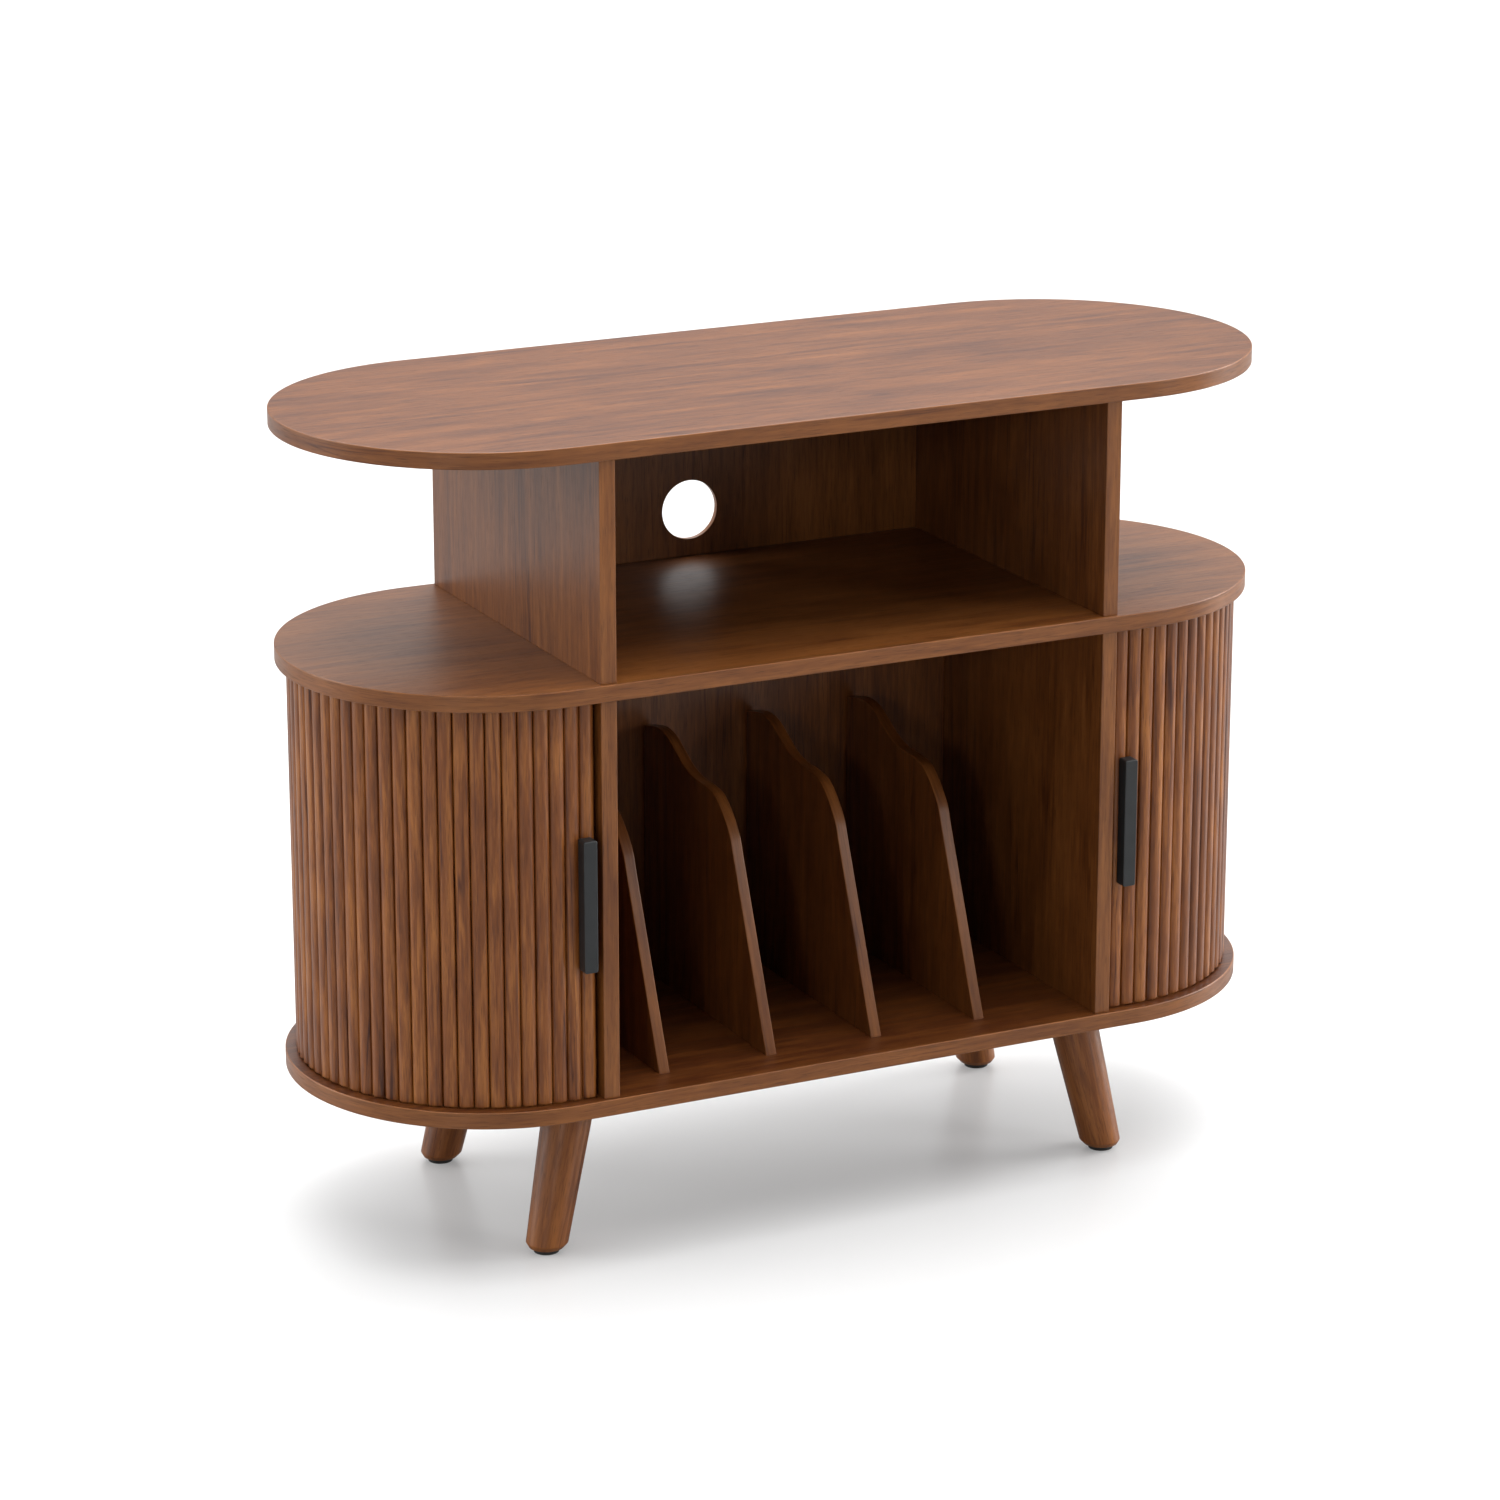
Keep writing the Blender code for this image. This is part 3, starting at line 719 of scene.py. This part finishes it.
def make_upper_back():
    """The media bay's back, with its cable hole."""
    low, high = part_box("upper_back_panel")
    own_shift = shift()
    centre = (0.0, low.z + CABLE_HOLE_RISE)
    outline = [(low.x, low.z), (high.x, low.z), (high.x, high.z), (low.x, high.z)]
    panel = Solid(UPPER_BACK_TONE)
    add_prism(
        panel,
        outline,
        low.y,
        high.y,
        along_y,
        lambda s, w, point: Vector((s, w, 0.0)) + own_shift,
        lambda u, v, w: Vector((v, u, w)) + own_shift,
        PANEL_ROUNDING / 2,
        [circle(centre, CABLE_HOLE_RADIUS, CABLE_HOLE_SIDES)],
    )
    made = panel.finish("upper_back_panel_detail", LOOKS["walnut_board"])
    stand_for(made, ["upper_back_panel"], "cabinet")


def make_rear_shells():
    for side_name, side in SIDES.items():
        node = "rear_shell_" + side_name
        low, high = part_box(node)
        outer = high.y
        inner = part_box("rear_panel")[0].y
        far_edge = abs(high.x if side > 0 else low.x)
        start = math.asin(min(1.0, far_edge / outer - AXIS_X / outer))
        own_shift = shift()
        shell = Solid(REAR_TONE)
        add_prism(
            shell,
            arc_band(side, inner, outer, math.pi - start, math.pi),
            low.z,
            high.z,
            along_z,
            lambda s, w, point: Vector((w, s, 0.0)) + own_shift,
            lambda u, v, w: Vector((w, u, v)) + own_shift,
        )
        made = shell.finish(node + "_detail", LOOKS["walnut_ply"])
        stand_for(made, [node], "cabinet")


def smooth_curve(points, steps):
    """A Catmull-Rom curve through the points, with this many steps in each stretch."""
    padded = [points[0], *points, points[-1]]
    curve = []
    for k in range(1, len(padded) - 2):
        p0, p1, p2, p3 = (Vector(padded[k + i]) for i in (-1, 0, 1, 2))
        for i in range(steps):
            t = i / steps
            bend = (p2 - p0) * t
            bend += (2 * p0 - 5 * p1 + 4 * p2 - p3) * t * t
            bend += (3 * p1 - p0 - 3 * p2 + p3) * t**3
            curve.append(tuple(p1 + bend / 2))
    return [*curve, tuple(points[-1])]


def divider_outline(low, high):
    """Side view as (y, z): a straight lean, a round shoulder, and a wave that climbs to the rear crest."""
    points = [*DIVIDER_SHOULDER, *DIVIDER_WAVE, (high.y, DIVIDER_REAR_RISE)]
    crest = smooth_curve([(y, RECORD_FLOOR + rise) for y, rise in points], DIVIDER_CURVE_STEPS)
    front = (low.y, RECORD_FLOOR)
    return [(low.y, low.z), (high.y, low.z), *crest[::-1], front]


def make_dividers():
    for name in sorted(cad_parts):
        if not name.startswith("record_divider_"):
            continue
        low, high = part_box(name)
        face_shift, band_shift = shift(), shift()
        tone = rng.uniform(*DIVIDER_TONES)
        divider = Solid(tone, BAND_TONE / 2)
        add_prism(
            divider,
            divider_outline(low, high),
            low.x,
            high.x,
            along_x,
            lambda s, w, point: Vector((s, w, 0.0)) + band_shift,
            lambda u, v, w: Vector((v, u, w)) + face_shift,
            PANEL_ROUNDING,
        )
        made = divider.finish(name + "_detail", LOOKS["walnut_board"])
        stand_for(made, [name], "cabinet")


def add_turned(solid, profile, sides, foot, head, grain_shift):
    """Adds a turned shape whose middle leans from foot to head. profile lists (radius, z,
    wear_and_highlight) upwards, the third being the painted edge highlight with a little wear.
    """
    base_z, top_z = profile[0][1], profile[-1][1]
    rings = []
    for radius, z, wear_and_highlight in profile:
        middle = foot.lerp(head, (z - base_z) / (top_z - base_z))
        turns = [2 * math.pi * i / sides for i in range(sides)]
        offsets = [Vector((radius * math.cos(t), radius * math.sin(t))) for t in turns]
        verts = [solid.vert((middle.x + o.x, middle.y + o.y, z)) for o in offsets]
        grains = [Vector((z, o.x, o.y)) + grain_shift for o in offsets]
        rings.append((verts, grains, wear_and_highlight))
    for verts, grains, _wear_and_highlight in (rings[0], rings[-1]):
        solid.face(verts, grains, smooth=False)
    for (low_verts, low_grains, low_wear_and_highlight), (high_verts, high_grains, high_wear_and_highlight) in zip(rings, rings[1:]):
        for i in range(sides):
            j = (i + 1) % sides
            solid.face(
                (low_verts[i], low_verts[j], high_verts[j], high_verts[i]),
                (low_grains[i], low_grains[j], high_grains[j], high_grains[i]),
                (low_wear_and_highlight, low_wear_and_highlight, high_wear_and_highlight, high_wear_and_highlight),
            )


def make_legs():
    for corner in CORNERS:
        low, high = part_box("leg_" + corner)
        pad_low, pad_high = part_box("glide_pad_" + corner)
        bolt_low, bolt_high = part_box("hanger_bolt_" + corner)
        foot = ((pad_low + pad_high) / 2).xy
        head = ((bolt_low + bolt_high) / 2).xy
        soft = LEG_SOFTENING
        slope = (LEG_CHAMFER_RADIUS - LEG_TIP_RADIUS) / (LEG_CHAMFER_TOP - low.z)
        # The third number of each ring is the painted highlight, with a little wear, on the leg's turned
        # corners
        profile = [
            (LEG_TIP_RADIUS - soft / 2, low.z, 0.0),
            (LEG_TIP_RADIUS + soft * slope / 3, low.z + soft / 3, 1.0),
            (LEG_TIP_RADIUS + soft * slope, low.z + soft, 0.4),
            (LEG_CHAMFER_RADIUS - soft * slope, LEG_CHAMFER_TOP - soft, 0.4),
            (LEG_CHAMFER_RADIUS - soft * slope / 6, LEG_CHAMFER_TOP - soft / 8, 1.0),
            (LEG_CHAMFER_RADIUS + soft / 40, LEG_CHAMFER_TOP + soft, 0.4),
            (LEG_CHAMFER_RADIUS + soft / 20, LEG_CHAMFER_TOP + soft * 2, 0.0),
            (LEG_TOP_RADIUS - soft / 40, high.z - soft, 0.0),
            (LEG_TOP_RADIUS - soft / 4, high.z, 0.0),
        ]
        leg = Solid(rng.uniform(*LEG_TONES))
        add_turned(leg, profile, LEG_SIDES, foot, head, shift())
        made = leg.finish(f"leg_{corner}_detail", LOOKS["walnut_leg"])
        cutter = Solid()
        add_bore(cutter, "hanger_bolt_" + corner)
        carve(made, cutter)
        stand_for(made, ["leg_" + corner], "cabinet")

        radius = (pad_high.x - pad_low.x) / 2
        soft = PAD_SOFTENING
        pad = Solid()
        profile = [
            (radius - soft, pad_low.z, 0.0),
            (radius - soft * 0.3, pad_low.z + soft * 0.3, 0.0),
            (radius, pad_low.z + soft, 0.0),
            (radius, pad_high.z - soft, 0.0),
            (radius - soft * 0.3, pad_high.z - soft * 0.3, 0.0),
            (radius - soft, pad_high.z, 0.0),
        ]
        add_turned(pad, profile, LEG_SIDES, foot, foot, Vector())
        made = pad.finish(f"glide_pad_{corner}_detail", LOOKS["glide_rubber"])
        stand_for(made, ["glide_pad_" + corner], "cabinet")


# ---------------------------------------------------------------- tambour doors


def slat_place(side, index, x, radius):
    """A point of a slat: x across it from its middle, at this radius. Each slat is straight across."""
    distance = (index + 0.5) * SLAT_PITCH
    if distance <= FLAT_RUN:
        return (side * (AXIS_X - FLAT_RUN + distance + x), -radius)
    turn = (distance - FLAT_RUN) / PITCH_RADIUS
    x *= radius / PITCH_RADIUS
    across = x * math.cos(turn) + radius * math.sin(turn)
    back = x * math.sin(turn) - radius * math.cos(turn)
    return (side * (AXIS_X + across), back)


def add_slat(solid, side, index, door_shift):
    """Adds one slat: a full round reed between its shoulders, and a thin tongue that runs on past them."""
    tongue_low, tongue_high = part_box("left_lead_slat")[0].z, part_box("left_lead_slat")[1].z
    low, high = RECORD_FLOOR + SHOULDER_CLEARANCE, RECORD_CEILING - SHOULDER_CLEARANCE
    half = (SLAT_PITCH - SLAT_GAP) / 2
    start = (index + 0.5) * SLAT_PITCH
    solid.tone = rng.uniform(*SLAT_TONES)

    def column(x, radius, heights):
        made = []
        for z in heights:
            point = slat_place(side, index, x, radius)
            made.append((solid.vert((*point, z)), Vector((z, start + x, radius)) + door_shift, 0.0))
        return made

    def add_face(corners, smooth=False):
        solid.face([c[0] for c in corners], [c[1] for c in corners], smooth=smooth)

    all_heights = (tongue_low, low, high, tongue_high)
    rear = [column(end * half, SLAT_REAR, (tongue_low, tongue_high)) for end in (-1, 1)]
    tongue = [column(end * half, TONGUE_OUTER, all_heights) for end in (-1, 1)]
    reed = []
    for i in range(REED_STEPS + 1):
        t = -math.cos(math.pi * i / REED_STEPS)
        rise = (SLAT_CREST - SLAT_VALLEY) * math.sqrt(max(0.0, 1 - abs(t) ** REED_FULLNESS))
        reed.append(column(t * half, SLAT_VALLEY + rise, (low, high)))

    add_face((rear[0][0], rear[1][0], rear[1][1], rear[0][1]))
    for level in (0, 2):
        add_face((tongue[0][level], tongue[1][level], tongue[1][level + 1], tongue[0][level + 1]))
    for level, at in ((0, 0), (1, 3)):
        add_face((rear[0][level], rear[1][level], tongue[1][at], tongue[0][at]))
    for here, there in zip(reed, reed[1:]):
        add_face((here[0], there[0], there[1], here[1]), smooth=True)
    for level, at in ((0, 1), (1, 2)):
        add_face((tongue[0][at], *[line[level] for line in reed], tongue[1][at]))
    for k, edge in ((0, reed[0]), (1, reed[-1])):
        t = tongue[k]
        add_face((rear[k][0], rear[k][1], t[3], t[2], edge[1], edge[0], t[1], t[0]))


def make_canvas(side_name, side):
    """The cloth that the slats are glued to, creased where one slat meets the next."""
    node = side_name + "_canvas_backing"
    low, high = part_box(node)
    length = SLAT_COUNT * SLAT_PITCH
    distances = [CANVAS_MARGIN, *[k * SLAT_PITCH for k in range(1, SLAT_COUNT)], length - CANVAS_MARGIN]
    rows = []
    for distance in distances:
        row = []
        for radius in (CANVAS_OUTER, CANVAS_OUTER - CANVAS_THICK):
            turn = max(0.0, distance - FLAT_RUN) / PITCH_RADIUS
            flat = min(0.0, distance - FLAT_RUN)
            x = side * (AXIS_X + flat + radius * math.sin(turn))
            y = -radius * math.cos(turn)
            for z in (low.z, high.z):
                row.append(((x, y, z), Vector((distance, z, radius))))
        rows.append(row)
    cloth = Solid()
    verts = [[cloth.vert(place) for place, _ in row] for row in rows]
    around = (0, 1, 3, 2)
    for k in range(len(rows) - 1):
        for a, b in zip(around, around[1:] + around[:1]):
            corners = ((k, a), (k + 1, a), (k + 1, b), (k, b))
            grains = [rows[i][j][1] for i, j in corners]
            cloth.face([verts[i][j] for i, j in corners], grains, smooth=False)
    for k in (0, len(rows) - 1):
        cloth.face([verts[k][j] for j in around], [rows[k][j][1] for j in around], smooth=False)
    return cloth.finish(node + "_detail", LOOKS["canvas"])


def make_handle(side_name):
    """A square bar pull with soft edges, flat against the lead slat."""
    node = side_name + "_handle"
    low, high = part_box(node)
    bar = Solid()
    side_grain, cap_grain = plain_grain(lambda u, v, w: Vector((u, v, w)))
    outline = rounded_rectangle((low.x, low.z), (high.x, high.z), HANDLE_CORNER)
    add_prism(bar, outline, low.y, high.y, along_y, side_grain, cap_grain, HANDLE_ROUNDING)
    return bar.finish(node + "_detail", LOOKS["black_metal"])


def make_screw(side_name, place):
    """A pan-head screw: a shank, a domed head and a cross recess."""
    node = f"{side_name}_handle_screw_{place}"
    low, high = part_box(node)
    centre = (low + high) / 2
    head_radius = (high.x - low.x) / 2
    shank_radius = head_radius / 2
    head_base = high.y - SCREW_HEAD
    profile = [
        (shank_radius, low.y, 0.0),
        (shank_radius, head_base, 0.0),
        (head_radius * 0.97, head_base, 0.0),
    ]
    for i in range(SCREW_DOME_STEPS):
        turn = math.pi / 2 * i / SCREW_DOME_STEPS
        rise = SCREW_HEAD * math.sin(turn)
        profile.append((head_radius * math.cos(turn) ** 0.7, head_base + rise, 0.0))
    profile.append((head_radius * 0.2, high.y, 0.0))
    screw = Solid()
    add_turned(screw, profile, SCREW_SIDES, Vector((0, 0)), Vector((0, 0)), Vector())
    turned = Matrix.Translation((centre.x, 0.0, centre.z)) @ Matrix.Rotation(-math.pi / 2, 4, "X")
    bmesh.ops.transform(screw.mesh, matrix=turned, verts=screw.mesh.verts)
    made = screw.finish(node + "_detail", LOOKS["steel"])
    side_grain, cap_grain = plain_grain(lambda u, v, w: Vector((u, v, w)))
    for length, width in ((RECESS_LENGTH, RECESS_WIDTH), (RECESS_WIDTH, RECESS_LENGTH)):
        first = (centre.x - length / 2, centre.z - width / 2)
        last = (centre.x + length / 2, centre.z + width / 2)
        outline = rounded_rectangle(first, last, RECESS_ROUNDING)
        recess = Solid()
        add_prism(
            recess, outline, high.y - RECESS_DEPTH, high.y + RECESS_SPARE, along_y, side_grain, cap_grain
        )
        carve(made, recess)
    return stand_for(made, [node], side_name + "_tambour")


def carve_screw_holes(piece, side_name):
    """Cuts the holes of both handle screws into a piece of the door."""
    side_grain, cap_grain = plain_grain(lambda u, v, w: Vector((u, v, w)))
    cutter = Solid()
    for place in ("lower", "upper"):
        low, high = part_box(f"{side_name}_handle_screw_{place}")
        centre = (low + high) / 2
        radius = (high.x - low.x) / 4 + HOLE_CLEARANCE
        outline = circle((centre.x, centre.z), radius, SCREW_HOLE_SIDES)
        add_prism(cutter, outline, low.y - HOLE_CLEARANCE, high.y, along_y, side_grain, cap_grain)
    carve(piece, cutter)


def make_door(side_name, side):
    """One tambour: its slats, canvas, handle and screws, all on the body that slides."""
    body = side_name + "_tambour"
    door_shift = shift()
    lead = Solid()
    add_slat(lead, side, 0, door_shift)
    run = Solid()
    for index in range(1, SLAT_COUNT):
        add_slat(run, side, index, door_shift)
    pieces = [
        (lead.finish(side_name + "_lead_slat_detail", LOOKS["walnut_slat"]), "_lead_slat", "walnut_slat"),
        (run.finish(side_name + "_slat_run_detail", LOOKS["walnut_slat"]), "_slat_run", "walnut_slat"),
        (make_canvas(side_name, side), "_canvas_backing", "canvas"),
        (make_handle(side_name), "_handle", "black_metal"),
    ]
    for piece, node, slot_name in pieces:
        if node != "_slat_run":
            carve_screw_holes(piece, side_name)
        stand_for(piece, [side_name + node], body)
    for place in ("lower", "upper"):
        make_screw(side_name, place)


# ---------------------------------------------------------------- hidden hardware, studio and camera


def finish_hidden_hardware():
    """The dowels, bolts and inserts keep their CAD shapes, and get their materials."""
    looks = {"dowel_": "beech", "hanger_bolt_": "steel", "threaded_insert_": "brass"}
    for name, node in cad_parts.items():
        for start, look in looks.items():
            if name.startswith(start):
                node.data.materials.clear()
                node.data.materials.append(LOOKS[look])


def make_floor():
    """A pale floor that shows white, and throws only a little light back up on the wood."""
    made, g = new_material("studio_floor")
    seen = g.add("LightPath", {}, {}, 0)
    inputs = {
        "Base Color": g.mix(seen, FLOOR_BOUNCE, FLOOR_COLOUR),
        "Roughness": FLOOR_ROUGHNESS,
        "IOR": FLOOR_IOR,
        "Emission Color": (1.0, 1.0, 1.0, 1.0),
        "Emission Strength": g.math("MULTIPLY", seen, FLOOR_GLOW),
    }
    g.surface(inputs)
    builder = bmesh.new()
    bmesh.ops.create_grid(builder, x_segments=8, y_segments=8, size=FLOOR_REACH)
    mesh = bpy.data.meshes.new("studio_floor")
    builder.to_mesh(mesh)
    builder.free()
    mesh.materials.append(made)
    floor = bpy.data.objects.new("studio_floor", mesh)
    bpy.context.scene.collection.objects.link(floor)


def bearing(azimuth, elevation):
    """Unit vector towards a point of the surroundings: azimuth turns from the front towards +X."""
    level = math.cos(math.radians(elevation))
    turn = math.radians(azimuth)
    return Vector((math.sin(turn) * level, -math.cos(turn) * level, math.sin(math.radians(elevation))))


def make_world():
    """Soft studio surroundings: white all round, bright overhead and high at the rear, and dim low down at
    the front and at the rear. The camera sees plain white."""
    world = bpy.data.worlds.new("studio")
    world.use_nodes = True
    bpy.context.scene.world = world
    g = Graph(world.node_tree)
    direction = g.add("TexCoord", {}, {}, 0)
    level = SURROUND_LEVEL
    for (azimuth, elevation), start, full, rise in PATCHES:
        towards = {0: direction, 1: bearing(azimuth, elevation)}
        facing = g.add("VectorMath", {"operation": "DOT_PRODUCT"}, towards, 1)
        level = g.math("ADD", level, g.spread(facing, start, full, 0.0, rise, smooth=True))
    lit = g.add("Background", {}, {"Color": (1.0, 1.0, 1.0, 1.0), "Strength": level})
    plain = g.add("Background", {}, {"Color": (1.0, 1.0, 1.0, 1.0), "Strength": 1.0})
    seen = g.add("LightPath", {}, {}, 0)
    both = g.add("MixShader", {}, {0: seen, 1: lit, 2: plain})
    g.add("OutputWorld", {}, {"Surface": both})


def make_lights():
    for name, (azimuth, elevation, strength, spread) in LIGHTS.items():
        light = bpy.data.lights.new(name, "SUN")
        light.energy = strength
        light.angle = math.radians(spread)
        obj = bpy.data.objects.new(name, light)
        bpy.context.scene.collection.objects.link(obj)
        obj.rotation_mode = "QUATERNION"
        obj.rotation_quaternion = bearing(azimuth, elevation).to_track_quat("Z", "Y")


def make_camera():
    data = bpy.data.cameras.new("camera")
    data.lens = CAMERA_LENS
    data.clip_end = CAMERA_REACH
    camera = bpy.data.objects.new("camera", data)
    bpy.context.scene.collection.objects.link(camera)
    back = bearing(CAMERA_AZIMUTH, CAMERA_ELEVATION)
    camera.location = CAMERA_TARGET + back * CAMERA_DISTANCE
    camera.rotation_mode = "QUATERNION"
    camera.rotation_quaternion = back.to_track_quat("Z", "Y")
    bpy.context.scene.camera = camera


LOOKS = {
    "walnut_board": walnut("walnut_board_finish", BOARD_COLOURS, 0.6, 0.34),
    "walnut_slat": walnut("walnut_slat_finish", SLAT_COLOURS, 0.5, 0.33),
    "walnut_leg": walnut("walnut_leg_finish", LEG_COLOURS, 0.6, 0.36),
    "walnut_ply": walnut("walnut_ply_finish", PLY_COLOURS, 0.8, 0.45),
    "black_metal": coated_metal("black_powder_coat"),
    "canvas": woven_canvas("brown_canvas"),
    "glide_rubber": rubber("black_rubber"),
    "steel": plated_metal("zinc_plated_steel", (0.42, 0.43, 0.45), (0.62, 0.62, 0.63), 0.32),
    "brass": plated_metal("brass", (0.52, 0.34, 0.12), (0.78, 0.58, 0.28), 0.30),
    "beech": turned_beech("turned_beech"),
}

make_boards()
for side_name in SIDES:
    make_upright("upper_partition_" + side_name, "walnut_board", UPPER_PARTITION_TONE)
    make_upright("lower_partition_" + side_name, "walnut_board", LOWER_PARTITION_TONE)
make_upper_back()
make_upright("lower_back_panel", "walnut_board", LOWER_BACK_TONE)
make_upright("rear_panel", "walnut_ply", REAR_TONE)
make_rear_shells()
make_dividers()
make_legs()
for side_name, side in SIDES.items():
    make_door(side_name, side)
finish_hidden_hardware()
make_floor()
make_world()
make_lights()
make_camera()
bpy.context.scene.view_settings.view_transform = "Standard"
